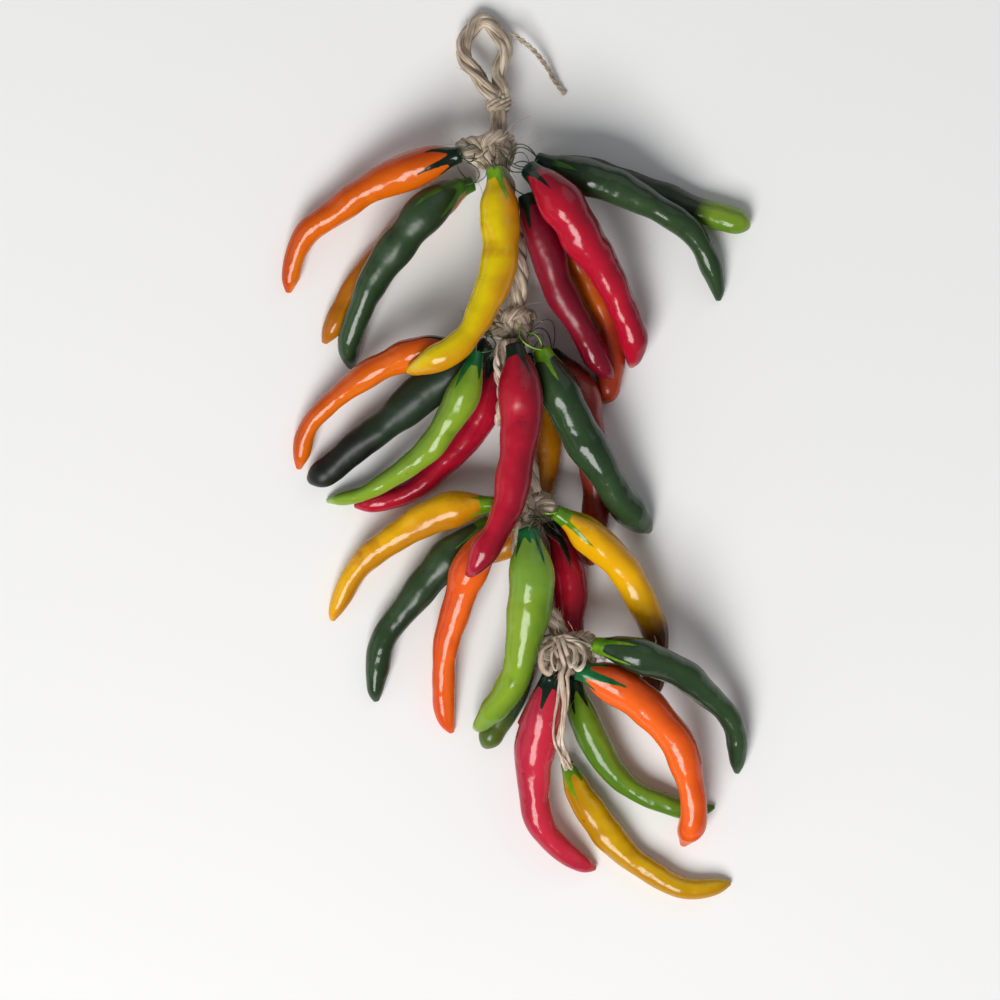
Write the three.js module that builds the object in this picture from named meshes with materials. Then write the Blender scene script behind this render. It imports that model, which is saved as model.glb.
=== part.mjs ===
// A string of glazed clay chillies: four bunches tied to a sisal rope, with one last chilli on a
// tail of twine. It lies on its back on a table. X runs across the string, Y runs up it to the
// hanging loop and Z is up off the table. Lengths are millimetres and headings are degrees
// anticlockwise from +X.

import * as THREE from 'three';

// ---- Driving dimensions ----

const GAP = 0.8; // clearance kept between the ideal surfaces of neighbouring pieces

const SEAT = 0.05; // what comes this near the table is flat on it

const GLANCE = 0.02; // share of a run looked back and ahead to find its direction

const CHILLI = {
  sides: 9,
  neck: 0.46, // width of the stem end, as a share of the girth
  shoulder: 0.24, // how far along it is fullest
  taper: 0.85, // power of the narrowing from there: over 1 keeps the body full for longer
  tip: 0.86, // how far along the rounded tip begins
  bluntTip: 0.93, // and where it begins on a blunt chilli
  bluntness: [1.8, 0.7], // powers of the tip's round outline
  stations: [0, 0.05, 0.12, 0.22, 0.34, 0.46, 0.58, 0.69, 0.79, 0.88, 0.95, 0.985],
};

// Cords: lobes, ridge and pitch are the strands that show, how far they stand out and their lay.
const ROPE = { sides: 9, radius: 4.2, lobes: 3, ridge: 0.1, pitch: 34, step: 4.2 };
const LOOP_CORD = { ...ROPE, radius: 3.5, pitch: 28 };
const TWINE = { sides: 6, radius: 1.1, lobes: 0, ridge: 0, pitch: 40, step: 3.4 };
const TAIL_TWINE = { ...TWINE, radius: 1.8, step: 5 };
const ROPE_END = { ...TWINE, radius: 2, step: 4 };
const WIRE = { sides: 5, radius: 0.5, lobes: 0, ridge: 0, pitch: 400, step: 2.4 };

// A knot's barrel: its wraps and how deep the grooves between them are, the power of its bulge,
// the least radius of its ends and how far along those are cut flat.
const KNOT = { sides: 10, rings: 9, wraps: 3, groove: 0.07, bulge: 2.6, least: 0.2, trim: 0.02 };
const SLANT = 0.45; // room that a slanting flat rope end needs beside a knot, as a share of its radius

// Least heights above the table of the stem ends, by how deep in the bunch a chilli hangs.
const STEM_HEIGHT = { back: 6, middle: 18, front: 30 };

const FINISH = {
  orange: { color: 0xd8631c, roughness: 0.12 },
  gold: { color: 0xd9a21b, roughness: 0.12 },
  lemon: { color: 0xe3c319, roughness: 0.12 },
  lime: { color: 0xa4c437, roughness: 0.12 },
  green: { color: 0x1f5a2a, roughness: 0.12 },
  red: { color: 0xb3261c, roughness: 0.12 },
  rust: { color: 0x8a2f14, roughness: 0.12 },
  sisal: { color: 0xb49a6c, roughness: 0.9 },
  wire: { color: 0x2c3b22, roughness: 0.4 },
};

// ---- The chillies ----
// Each is set by its stem end, its heading there, at each third and at the tip, its length and
// girth, and its width where the tip begins, as a share of the girth. Each list runs from the
// back of the string to the front.

const BACK = [
  ['1i', 'lime', { stem: [19.5, 151.5], aim: [351, 343, 340, 346], length: 98, girth: 16, end: 0.72 }],
  ['1f', 'orange', { stem: [15.5, 137.5], aim: [302, 304, 286, 244], length: 103, girth: 15.5, end: 0.74 }],
  ['1b', 'gold', { stem: [-12.5, 143.5], aim: [200, 226, 232, 248], length: 102, girth: 16, end: 0.62 }],
  ['2h', 'rust', { stem: [23.5, 66.5], aim: [317, 281, 272, 256], length: 102, girth: 15.5, end: 0.76 }],
  ['2f', 'gold', { stem: [12, 65.5], aim: [291, 275, 247, 207], length: 106, girth: 15.5, end: 0.76 }],
  ['2d', 'red', { stem: [-3.5, 64], aim: [270, 237, 217, 178], length: 101, girth: 17, end: 0.53 }],
  ['3e', 'green', { stem: [13.5, -19], aim: [265, 269, 254, 232], length: 97.5, girth: 16, end: 0.72 }],
  ['3f', 'red', { stem: [22, -10], aim: [303, 272, 253, 211], length: 102, girth: 16, end: 0.57 }],
  ['4b', 'lime', { stem: [33.5, -80], aim: [279, 297, 331, 374], length: 99.5, girth: 14, end: 0.56 }],
  ['5a', 'lemon', { stem: [30.5, -119.5], aim: [289, 308, 331, 380], length: 103, girth: 14.5, end: 0.59 }],
];

const MIDDLE = [
  ['1e', 'red', { stem: [11.5, 137], aim: [292, 288, 300, 305], length: 92, girth: 16.5, end: 0.64 }],
  ['1c', 'green', { stem: [-18, 142], aim: [214, 231, 242, 276], length: 101, girth: 18, end: 0.58 }],
  ['1a', 'orange', { stem: [-18, 155], aim: [191, 205, 219, 275], length: 108, girth: 17, end: 0.55 }],
  ['1h', 'green', { stem: [17, 153.5], aim: [339, 341, 320, 266], length: 112, girth: 16.5, end: 0.57 }],
  ['2b', 'green', { stem: [-5.5, 69.5], aim: [213, 219, 219, 213], length: 102, girth: 18.5, end: 0.64 }],
  ['2c', 'lime', { stem: [-10.5, 66], aim: [257, 238, 211, 190], length: 103, girth: 15, end: 0.48 }],
  ['2a', 'orange', { stem: [-19, 69.5], aim: [183, 206, 223, 267], length: 100, girth: 14.5, end: 0.56 }],
  ['3b', 'green', { stem: [-4.5, -10], aim: [218, 227, 237, 286], length: 102, girth: 17, end: 0.61 }],
  ['3c', 'orange', { stem: [0.5, -9.5], aim: [229, 251, 260, 295], length: 104, girth: 16, end: 0.58 }],
  ['3a', 'gold', { stem: [-2.5, -2], aim: [180, 206, 223, 261], length: 98, girth: 16, end: 0.57 }],
  ['3g', 'gold', { stem: [25, -5.5], aim: [329, 313, 287, 249], length: 103, girth: 16, end: 0.62 }],
  ['4c', 'orange', { stem: [34.5, -76.5], aim: [347, 318, 287, 247], length: 108, girth: 18.5, end: 0.62 }],
  ['4a', 'red', { stem: [23, -78.5], aim: [256, 260, 290, 354], length: 104, girth: 18.5, end: 0.54 }],
];

const FRONT = [
  ['1g', 'red', { stem: [13, 148.5], aim: [317, 302, 301, 265], length: 103, girth: 20.5, end: 0.59 }],
  ['2g', 'green', { stem: [18.5, 67.5], aim: [291, 298, 302, 316], length: 97, girth: 19, end: 0.74 }],
  ['1d', 'lemon', { stem: [-2.5, 148.5], aim: [281, 266, 236, 189], length: 111, girth: 17.5, end: 0.67 }],
  ['2e', 'red', { stem: [6.5, 69.5], aim: [281, 267, 254, 223], length: 110, girth: 19, end: 0.63 }],
  ['3d', 'lime', { stem: [12.5, -13.5], aim: [278, 265, 253, 212], length: 98, girth: 20.5, end: 0.58 }],
  ['4d', 'green', { stem: [42.5, -65], aim: [351, 336, 309, 258], length: 99, girth: 16, end: 0.56 }],
];

// The chillies that keep their width nearly to the tip.
const BLUNT = ['1i', '1f', '2b', '3e', '3g'];

// ---- The rope, its knots and the twine ----

// A knot is set by its middle, its least height above the table, and its size.
const KNOTS = [
  { name: 'loop_binding', at: [-0.5, 179], rest: 14, width: 7, height: 11.5, heading: 90 },
  { name: 'knot_1', at: [-4.5, 157], rest: 20, width: 27, height: 16.5, heading: 0 },
  { name: 'knot_2', at: [5.5, 79], rest: 20, width: 25, height: 17, heading: 0 },
  { name: 'knot_3', at: [16, -3.5], rest: 20, width: 22, height: 16, heading: 0 },
  { name: 'knot_4', at: [31, -69], rest: 20, width: 27, height: 18, heading: 0 },
];

// Each rope runs from knot to knot, through a few places on the way.
const ROPES = [
  {
    name: 'rope_neck',
    ends: ['loop_binding', 'knot_1'],
    route: [[-0.5, 179], [-0.5, 168], [-4.5, 157]],
  },
  {
    name: 'rope_1',
    ends: ['knot_1', 'knot_2'],
    route: [[-4.5, 157], [1, 147], [5.5, 126], [9, 99], [5.5, 79]],
  },
  {
    name: 'rope_2',
    ends: ['knot_2', 'knot_3'],
    route: [[5.5, 79], [3.5, 66], [7, 36], [12, 20], [16, -3.5]],
  },
  {
    name: 'rope_3',
    ends: ['knot_3', 'knot_4'],
    route: [[16, -3.5], [9, -20], [15, -40], [24, -54], [31, -69]],
  },
];

// The loop leans left of the neck and slopes down to the table at its top.
const LOOP = {
  name: 'hanging_loop',
  route: [[-5.5, 185], [-9.5, 191], [-17, 204], [-8, 218], [2, 205], [-1, 191], [2.6, 185]],
};

// The rope's two short ends, which hang from their knots between the stems.
const ROPE_ENDS = [
  { name: 'rope_end_2', route: [[-1.5, 68.5], [-1.5, 60], [0.5, 48], [-0.5, 35.5]] },
  { name: 'rope_end_3', route: [[7.8, -13], [7.2, -20], [6.6, -27]] },
];

// What is laid on top of the rest: the loose end of the loop's cord, the bow at the lowest knot
// and the tail that carries the last chilli.
const TRIMMINGS = [
  { name: 'loose_end', cord: TWINE, route: [[4, 212], [13, 206], [21, 197], [25, 190], [29.5, 184.5]] },
  { name: 'bow_left', cord: TWINE, route: [[24, -64], [19, -67], [18.5, -74], [21.5, -78], [24, -72]] },
  { name: 'bow_right', cord: TWINE, route: [[33, -64], [37, -66], [37.5, -73], [34.5, -76], [32.5, -71]] },
  { name: 'tail', cord: TAIL_TWINE, route: [[28, -80], [28.5, -90], [26.5, -108], [31, -121]] },
];

// Stems whose wire shows, with the knot that it goes to and how far along the knot it ends.
const TIES = [
  ['chilli_1a_orange', 'knot_1', 0.3],
  ['chilli_1h_green', 'knot_1', 0.65],
  ['chilli_1d_lemon', 'knot_1', 0.45],
  ['chilli_2g_green', 'knot_2', 0.65],
  ['chilli_3g_gold', 'knot_3', 0.6],
  ['chilli_2c_lime', 'knot_2', 0.3],
  ['chilli_3d_lime', 'knot_3', 0.3],
];
const TIE_RISE = 5; // how far a wire arches over the straight line from stem to knot

// ---- Curves ----

const { lerp, clamp, degToRad } = THREE.MathUtils;

/** The heading a share t of the way along a chilli, from its headings at even steps. */
function headingAt(aim, t) {
  const place = clamp(t, 0, 1) * (aim.length - 1);
  const step = Math.min(Math.floor(place), aim.length - 2);
  return lerp(aim[step], aim[step + 1], place - step);
}

/** A chilli's radius a share t of the way from stem to tip. */
function chilliRadius({ girth, end, tip }, t) {
  const belly = girth / 2;
  const heel = belly * end;
  if (t < CHILLI.shoulder) {
    const swell = Math.sin((Math.PI / 2) * (t / CHILLI.shoulder));
    return lerp(belly * CHILLI.neck, belly, swell);
  }
  if (t < tip) {
    const along = (t - CHILLI.shoulder) / (tip - CHILLI.shoulder);
    return lerp(belly, heel, along ** CHILLI.taper);
  }
  const round = (t - tip) / (1 - tip);
  const [inner, outer] = CHILLI.bluntness;
  return heel * (1 - round ** inner) ** outer;
}

/** Walks a chilli from its stem end along its headings, in small even steps. */
function chilliRun(shape, steps = 60) {
  const run = [];
  const stride = shape.length / steps;
  let [x, y] = shape.stem;
  for (let i = 0; i <= steps; i += 1) {
    run.push({ x, y, r: chilliRadius(shape, i / steps) });
    const heading = degToRad(headingAt(shape.aim, (i + 0.5) / steps));
    x += stride * Math.cos(heading);
    y += stride * Math.sin(heading);
  }
  return run;
}

/** A smooth run of one radius through a few places. */
function cordRun(route, radius, stride = 1.5) {
  const curve = new THREE.CatmullRomCurve3(route.map(([x, y]) => new THREE.Vector3(x, y, 0)));
  const steps = Math.ceil(curve.getLength() / stride);
  return curve.getSpacedPoints(steps).map(({ x, y }) => ({ x, y, r: radius }));
}

/** A knot is a short fat run along its heading: a barrel with rounded ends. */
function knotRun({ at, width, height, heading }, steps = 24) {
  const turn = degToRad(heading);
  return Array.from({ length: steps + 1 }, (_, i) => {
    const across = lerp(-0.5, 0.5, i / steps);
    const r = (height / 2) * Math.sqrt(1 - Math.abs(2 * across) ** KNOT.bulge);
    const reach = across * width;
    const [x, y] = [at[0] + reach * Math.cos(turn), at[1] + reach * Math.sin(turn)];
    return { x, y, r: Math.max(r, KNOT.least) };
  });
}

// ---- Laying the pieces on each other ----

const laid = new Map(); // each piece already in place, as a run of balls

/** The lowest a ball may go without touching the table or what already lies there. */
function floorUnder({ x, y, r }, sides, past) {
  let height = r * Math.cos(Math.PI / sides);
  for (const [name, run] of laid) {
    if (past.includes(name)) continue;
    for (const ball of run) {
      const reach = r + ball.r + GAP;
      const apart = Math.hypot(x - ball.x, y - ball.y);
      if (apart < reach) height = Math.max(height, ball.z + Math.sqrt(reach * reach - apart * apart));
    }
  }
  return height;
}

/** Pulls a line taut over a run of least heights: the piece bridges from bump to bump. */
function bridge(heights) {
  const held = [];
  heights.forEach((z, i) => {
    while (held.length > 1) {
      const [a, b] = held.slice(-2);
      if ((b.z - a.z) * (i - a.i) > (z - a.z) * (b.i - a.i)) break;
      held.pop();
    }
    held.push({ i, z });
  });
  return heights.map((_, i) => {
    const next = Math.max(held.findIndex((point) => point.i >= i), 1);
    const [a, b] = [held[next - 1], held[next]];
    return lerp(a.z, b.z, (i - a.i) / (b.i - a.i));
  });
}

/**
 * Lays a run down over what is there, with its first end held no lower than a height, and
 * past the named pieces as if they weren't there.
 */
function lay(name, run, sides, { firstHeight = 0, past = [] } = {}) {
  const least = run.map((ball) => floorUnder(ball, sides, past));
  least[0] = Math.max(least[0], firstHeight);
  bridge(least).forEach((z, i) => {
    run[i].z = z;
  });
  laid.set(name, run);
  return run;
}

/** Cuts a run back to where its flat end clears a knot, past the knot's end or beside it. */
function clearOf(run, knotName) {
  const knot = KNOTS.find(({ name }) => name === knotName);
  const turn = degToRad(knot.heading);
  return run.filter(({ x, y, r }) => {
    const [dx, dy] = [x - knot.at[0], y - knot.at[1]];
    const along = Math.abs(dx * Math.cos(turn) + dy * Math.sin(turn));
    const beside = Math.abs(dy * Math.cos(turn) - dx * Math.sin(turn));
    return along > knot.width / 2 + GAP / 2 || beside > knot.height / 2 + r * SLANT + GAP;
  });
}

// ---- Solids ----

/** The run's ball a share t of the way along, with its position as a vector. */
function ballAt(run, t) {
  const place = t * (run.length - 1);
  const i = Math.min(Math.floor(place), run.length - 2);
  const [a, b] = [run[i], run[i + 1]];
  const part = place - i;
  const at = new THREE.Vector3(lerp(a.x, b.x, part), lerp(a.y, b.y, part), lerp(a.z, b.z, part));
  return { at, r: lerp(a.r, b.r, part) };
}

/**
 * Skins a run with rings of vertices at the given stations and closes each end with a point.
 * section(t, angle) scales the radius, and turn(t) twists the rings about the run.
 */
function skin(run, stations, sides, { section = () => 1, turn = () => 0, endReach = 0.25 } = {}) {
  const positions = [];
  const up = new THREE.Vector3(0, 0, 1);
  const tangentAt = (t) => {
    const before = ballAt(run, Math.max(t - GLANCE, 0)).at;
    return ballAt(run, Math.min(t + GLANCE, 1)).at.sub(before).normalize();
  };
  const addPole = (t, direction) => {
    const { at, r } = ballAt(run, t);
    positions.push(at.addScaledVector(tangentAt(t), direction * r * endReach));
  };
  addPole(stations[0], -1);
  for (const t of stations) {
    const { at, r } = ballAt(run, t);
    const tangent = tangentAt(t);
    const side = new THREE.Vector3().crossVectors(tangent, up).normalize();
    const rise = new THREE.Vector3().crossVectors(side, tangent);
    for (let j = 0; j < sides; j += 1) {
      const angle = (2 * Math.PI * (j + 0.5)) / sides - Math.PI / 2;
      const reach = r * section(t, angle);
      const point = at.clone();
      point.addScaledVector(side, reach * Math.cos(angle + turn(t)));
      point.addScaledVector(rise, reach * Math.sin(angle + turn(t)));
      if (point.z < SEAT) point.z = 0;
      positions.push(point);
    }
  }
  addPole(stations.at(-1), 1);

  const faces = [];
  const corner = (ring, j) => 1 + ring * sides + (j % sides);
  const last = positions.length - 1;
  for (let j = 0; j < sides; j += 1) {
    faces.push(0, corner(0, j), corner(0, j + 1));
    for (let ring = 0; ring < stations.length - 1; ring += 1) {
      faces.push(corner(ring, j), corner(ring + 1, j), corner(ring, j + 1));
      faces.push(corner(ring, j + 1), corner(ring + 1, j), corner(ring + 1, j + 1));
    }
    faces.push(last, corner(stations.length - 1, j + 1), corner(stations.length - 1, j));
  }
  const geometry = new THREE.BufferGeometry().setFromPoints(positions);
  geometry.setIndex(faces);
  geometry.computeVertexNormals();
  return geometry;
}

const evenStations = (count) => Array.from({ length: count }, (_, i) => i / (count - 1));

/** The section and twist of a laid rope or twine of the given size. */
function ropeLay({ lobes, ridge, pitch, sides }, length) {
  return {
    section: (t, angle) => 1 + ridge * Math.cos(lobes * (angle + Math.PI / 2 - Math.PI / sides)),
    turn: (t) => (2 * Math.PI * t * length) / pitch,
    endReach: 0,
  };
}

const runLength = (run) =>
  run.slice(1).reduce((sum, ball, i) => sum + Math.hypot(ball.x - run[i].x, ball.y - run[i].y), 0);

// ---- Building the string ----

const string = new THREE.Group();

function addPiece(name, geometry, finish) {
  const mesh = new THREE.Mesh(geometry, new THREE.MeshStandardMaterial(FINISH[finish]));
  mesh.name = name;
  string.add(mesh);
}

function addChillies(rows, firstHeight) {
  for (const [place, glaze, shape] of rows) {
    const name = `chilli_${place}_${glaze}`;
    const tip = BLUNT.includes(place) ? CHILLI.bluntTip : CHILLI.tip;
    const run = lay(name, chilliRun({ ...shape, tip }), CHILLI.sides, { firstHeight });
    addPiece(name, skin(run, CHILLI.stations, CHILLI.sides), glaze);
  }
}

/** A knot lies level, and its wraps swell and dip along it. */
function addKnot(knot) {
  const run = lay(knot.name, knotRun(knot), KNOT.sides, { firstHeight: knot.rest });
  const middle = Math.max(...run.map((ball) => ball.z));
  run.forEach((ball) => {
    ball.z = middle;
  });
  const stations = evenStations(KNOT.rings).map((t) => lerp(KNOT.trim, 1 - KNOT.trim, t));
  const section = (t) => 1 - KNOT.groove * (0.5 + 0.5 * Math.cos(2 * Math.PI * KNOT.wraps * t));
  addPiece(knot.name, skin(run, stations, KNOT.sides, { section }), 'sisal');
}

function addCord(name, cord, run, finish = 'sisal') {
  const length = runLength(run);
  const stations = evenStations(Math.ceil(length / cord.step) + 1);
  addPiece(name, skin(run, stations, cord.sides, ropeLay(cord, length)), finish);
}

/** A cord that lies loosely over what is already there. */
function layCord({ name, cord, route }) {
  addCord(name, cord, lay(name, cordRun(route, cord.radius), cord.sides));
}

/** A rope between two knots leaves each at the knot's own height. */
function addRope({ name, route, ends }) {
  const run = lay(name, cordRun(route, ROPE.radius), ROPE.sides, { past: KNOTS.map((knot) => knot.name) });
  const [top, bottom] = ends.map((end) => laid.get(end)[0].z);
  run.forEach((ball, i) => {
    ball.z = Math.max(ball.z, lerp(top, bottom, i / (run.length - 1)));
  });
  addCord(name, ROPE, clearOf(clearOf(run, ends[0]), ends[1]));
}

/** The loop slopes evenly from the binding down to the table. */
function addLoop({ name, route }) {
  const run = cordRun(route, LOOP_CORD.radius);
  const foot = run[0].y;
  const crown = Math.max(...run.map((ball) => ball.y));
  const high = laid.get('loop_binding')[0].z;
  const low = LOOP_CORD.radius * (1 + LOOP_CORD.ridge);
  run.forEach((ball) => {
    ball.z = lerp(high, low, clamp((ball.y - foot) / (crown - foot), 0, 1));
  });
  laid.set(name, run);
  addCord(name, LOOP_CORD, clearOf(run, 'loop_binding'));
}

/** A wire arches from the top of a stem to the top of a knot. */
function addTie([chilli, knot, share]) {
  const [stem] = laid.get(chilli);
  const wraps = laid.get(knot);
  const anchor = wraps[Math.round(wraps.length * share)];
  const onTop = ({ x, y, z, r }) => new THREE.Vector3(x, y, z + r + WIRE.radius + GAP / 2);
  const [from, to] = [onTop(stem), onTop(anchor)];
  const crest = from.clone().lerp(to, 0.5);
  crest.z = Math.max(from.z, to.z) + 2 * TIE_RISE;
  const curve = new THREE.QuadraticBezierCurve3(from, crest, to);
  const steps = Math.ceil(curve.getLength());
  const run = curve.getSpacedPoints(steps).map(({ x, y, z }) => ({ x, y, z, r: WIRE.radius }));
  addCord(`wire_${chilli.split('_')[1]}`, WIRE, run, 'wire');
}

addChillies(BACK, STEM_HEIGHT.back);
KNOTS.forEach(addKnot);
ROPES.forEach(addRope);
addLoop(LOOP);
addChillies(MIDDLE, STEM_HEIGHT.middle);
ROPE_ENDS.forEach((end) => layCord({ ...end, cord: ROPE_END }));
addChillies(FRONT, STEM_HEIGHT.front);
TRIMMINGS.forEach(layCord);
TIES.forEach(addTie);

// The origin goes under the middle of the string's footprint, on the table.
const box = new THREE.Box3().setFromObject(string);
const centre = box.getCenter(new THREE.Vector3());
string.position.set(-centre.x, -centre.y, -box.min.z);

const group = new THREE.Group();
group.add(string);
export default group;
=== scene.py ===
import math
import random

import bpy
import numpy as np
from bpy.props import FloatProperty, FloatVectorProperty, IntProperty, PointerProperty
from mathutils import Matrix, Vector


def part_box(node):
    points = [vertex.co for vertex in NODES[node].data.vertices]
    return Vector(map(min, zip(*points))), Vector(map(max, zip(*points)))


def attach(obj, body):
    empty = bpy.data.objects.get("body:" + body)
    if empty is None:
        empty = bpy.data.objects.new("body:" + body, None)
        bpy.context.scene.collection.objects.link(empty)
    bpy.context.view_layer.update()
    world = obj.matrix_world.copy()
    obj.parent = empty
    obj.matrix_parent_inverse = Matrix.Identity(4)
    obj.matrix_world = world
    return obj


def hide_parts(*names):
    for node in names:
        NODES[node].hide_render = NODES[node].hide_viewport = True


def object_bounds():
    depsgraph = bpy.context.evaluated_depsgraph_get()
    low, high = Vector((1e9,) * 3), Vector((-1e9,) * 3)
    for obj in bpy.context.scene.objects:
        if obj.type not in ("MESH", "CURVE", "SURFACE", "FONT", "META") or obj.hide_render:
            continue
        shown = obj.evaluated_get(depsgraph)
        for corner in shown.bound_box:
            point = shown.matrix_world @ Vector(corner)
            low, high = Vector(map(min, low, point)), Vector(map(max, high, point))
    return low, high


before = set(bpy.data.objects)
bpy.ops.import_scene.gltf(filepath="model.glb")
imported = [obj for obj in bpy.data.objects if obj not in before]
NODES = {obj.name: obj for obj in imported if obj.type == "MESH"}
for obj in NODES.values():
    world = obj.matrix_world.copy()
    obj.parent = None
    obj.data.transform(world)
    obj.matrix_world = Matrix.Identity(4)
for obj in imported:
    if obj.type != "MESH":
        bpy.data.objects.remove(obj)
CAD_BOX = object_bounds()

bl_info = {
    "name": "Chilli String",
    "version": (1, 0, 0),
    "blender": (4, 5, 0),
    "location": "View3D > Sidebar > Chillies",
    "description": "Glazed clay chillies tied to a sisal rope, with its knots, twine and wires",
    "category": "Add Mesh",
}

MM = 0.001
TURN = 2 * math.pi
UP = np.array([0.0, 0.0, 1.0])

# The calyx colour that a chilli is painted with, by its place on the string. The rest are dark.
CALYX = {
    "lime": ["1d", "2g", "3a", "3b", "3g", "4d", "5a"],
    "leaf": ["1c", "1b"],
    "capped": ["1h"],
    "emerald": ["2c", "3d", "4c"],
}

# The lobes that show: degrees from the top towards the chilli's right, and length from the stem in mm.
LOBES = {
    "1a": ((48, 15), (-18, 21), (-85, 12)), "1c": ((28, 24), (-42, 20), (95, 14)),
    "1d": ((-18, 17), (72, 9), (-80, 11)), "1g": ((2, 19), (58, 17), (-68, 14)),
    "1h": ((-12, 22), (60, 14), (-85, 12)), "2c": ((38, 17), (-48, 12), (110, 12)),
    "2e": ((-24, 15), (68, 9), (-90, 11)), "2g": ((-4, 19), (74, 13), (-80, 11)),
    "3a": ((-48, 16), (42, 10), (110, 12)), "3b": ((6, 19), (-60, 15), (75, 13)),
    "3d": ((52, 13), (-42, 16), (5, 8)), "3f": ((-12, 24), (60, 15), (-85, 14)),
    "3g": ((16, 26), (-58, 20), (95, 12)), "4a": ((6, 16), (-58, 9), (70, 9)),
    "4c": ((0, 22), (62, 11), (-66, 15)), "4d": ((50, 19), (-28, 20), (-95, 12)),
    "5a": ((30, 18), (-46, 11), (100, 12)),
}

# Chillies whose calyx was painted with a finer brush, which ran on over the wire.
SLENDER = ["2g", "3a", "3b", "3g", "4d"]

# How far a chilli's colour leans to its deeper tone, or away from it where the share is below 0.
# For 1b, 1e, 2b and 2f the lean is painted shade, darkening chillies that lie in the shadow of their
# neighbours.
DEEPENING_AND_SHADE = {
    "1a": 0.1, "1b": 0.85, "1e": 0.75, "1f": 0.2, "2b": 0.9, "2d": 0.1,
    "2f": 0.8, "3b": 0.15, "3g": -0.35, "4b": 0.5, "5a": 0.25,
}

# Where a chilli's glaze came out dull: how much rougher it is there, and how far along that ends.
DULL = {
    "1c": (0.2, 0.66), "1e": (0.16, 0.85), "1f": (0.08, 1.1), "1i": (0.22, 0.8), "2b": (0.28, 1.1),
    "2e": (0.12, 0.72), "2f": (0.1, 1.1), "2h": (0.1, 1.1), "3b": (0.14, 0.7), "3e": (0.1, 1.1),
}

# Chillies painted from another pot of the same colour.
POT = {"3c": "flame", "4c": "flame", "4a": "rose", "5a": "straw"}

# A second colour over part of a chilli: that colour, and from how far along to how far. On 1i, 2b, 2h and 3g
# it is painted shadow where neighbouring chillies shade them; the rest are dips of paint.
DIPS_AND_SHADOWS = {
    # painted shadow of chilli 1h over the upper part
    "1i": ("#16290c", -0.1, 0.83),
    "1f": ("#a8381e", 0.58, 1.1),
    # painted shade over the tip
    "2b": ("#0b120b", 0.62, 1.1),
    # painted shade over the stem end
    "2h": ("#3a0f0a", -0.1, 0.16),
    "3e": ("#4a5c1e", 0.8, 1.1),
    # painted shadow of chilli 4d over the tip
    "3g": ("#4c270a", 0.62, 1.1),
    "4b": ("#3c5a18", 0.9, 1.1),
    "3d": ("#6f9430", -0.1, 0.3),
    "2c": ("#a9c48a", 0.955, 1.1),
}

# The side that is painted deeper, in degrees from the top towards the chilli's right: partly the glaze's own
# tone, partly painted shade on the side turned from the light.
SIDE_TONE_AND_SHADE = {"1d": -70, "1a": 65, "2a": 60, "3a": -60, "5a": 60, "4c": -70, "3c": 60, "2e": -70, "1g": -75}

# Each glaze: its body colour, its deeper colour, used for its mottling and for painted shade, and the lighter
# one where it is thin.
GLAZES = {
    "orange": ("#d96608", "#b84004", "#e4800c"),
    "flame": ("#ea621c", "#c8400c", "#f27a2c"),
    "gold": ("#e4a904", "#a8620a", "#ebb814"),
    "lemon": ("#d8bf00", "#bd7008", "#e4cd06"),
    "straw": ("#dcb000", "#b07c04", "#e8c20a"),
    "lime": ("#7c9a26", "#4e741a", "#90ae36"),
    "green": ("#2f4629", "#182a1a", "#405a34"),
    "red": ("#b3122c", "#6d0c22", "#cc1f36"),
    "rose": ("#c4283c", "#981a34", "#d84658"),
    # rust is an orange-red darkened as painted shade, for the chilli that lies in the others' shadow.
    "rust": ("#a63a2c", "#74201a", "#bc5434"),
}

# Each calyx paint: its bright colour and its dark one.
CALYX_PAINT = {
    "lime": ("#7fae14", "#4f7d12"),
    "leaf": ("#4c7d1c", "#2c5216"),
    "capped": ("#4c7d1c", "#12301c"),
    "emerald": ("#127038", "#0b4a26"),
    "dark": ("#0e2c1c", "#07180f"),
}

# How fine each pattern in the glaze is, in waves to the metre.
CLOUDS = 42.0
FINGER_LUMPS = 105.0
BRUSH_STREAKS = 150.0
PINHOLES = 240.0
GRAIN = 420.0

PINHOLE_COLOUR = "#2a1a08"

# The lobes round the back, which no chilli's list holds, and the angle between lobes strewn at random.
BACK_LOBES = ((180, 13), (-140, 12))
LOBE_SPREAD = 72

# The knots, and how far each one's crossing turn is spun round.
KNOTS = {"knot_1": 0.35, "knot_2": 2.5, "knot_3": 1.2, "knot_4": 0.2}

# A ply's radius as a share of its cord's, by how many plies are laid together.
PLY_SHARES = {1: 1.0, 2: 0.58, 3: 0.56}

# The lights: where each stands in metres, its width and height, its watts and its colour.
LIGHTS = {
    "window": ((-0.72, -2.0, 2.4), (1.55, 1.8), 106, (1.0, 0.99, 0.97)),
    "left fill": ((-2.4, -0.5, 1.2), (2.0, 1.4), 5, (0.97, 0.98, 1.0)),
    "right fill": ((1.5, 2.0, 1.9), (2.4, 2.4), 9, (0.97, 0.98, 1.0)),
}
SKY_COLOUR = (0.95, 0.97, 1.0, 1)
SKY_STRENGTH = 0.2
FLOOR_HALF = 3.0
FLOOR_DROP = 0.2 * MM  # how far the floor lies below the string's underside
EYE = (-7.4 * MM, -20 * MM)  # the point on the table that the camera stands over


# ---- Sizes and colours a user would change ----


def measure(name, description, default):
    return FloatProperty(name=name, description=description, default=default, unit="LENGTH")


def tint(name, description, default):
    return FloatVectorProperty(name=name, description=description, default=default, subtype="COLOR")


def number(name, description, default, least):
    return IntProperty(name=name, description=description, default=default, min=least)


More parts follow.
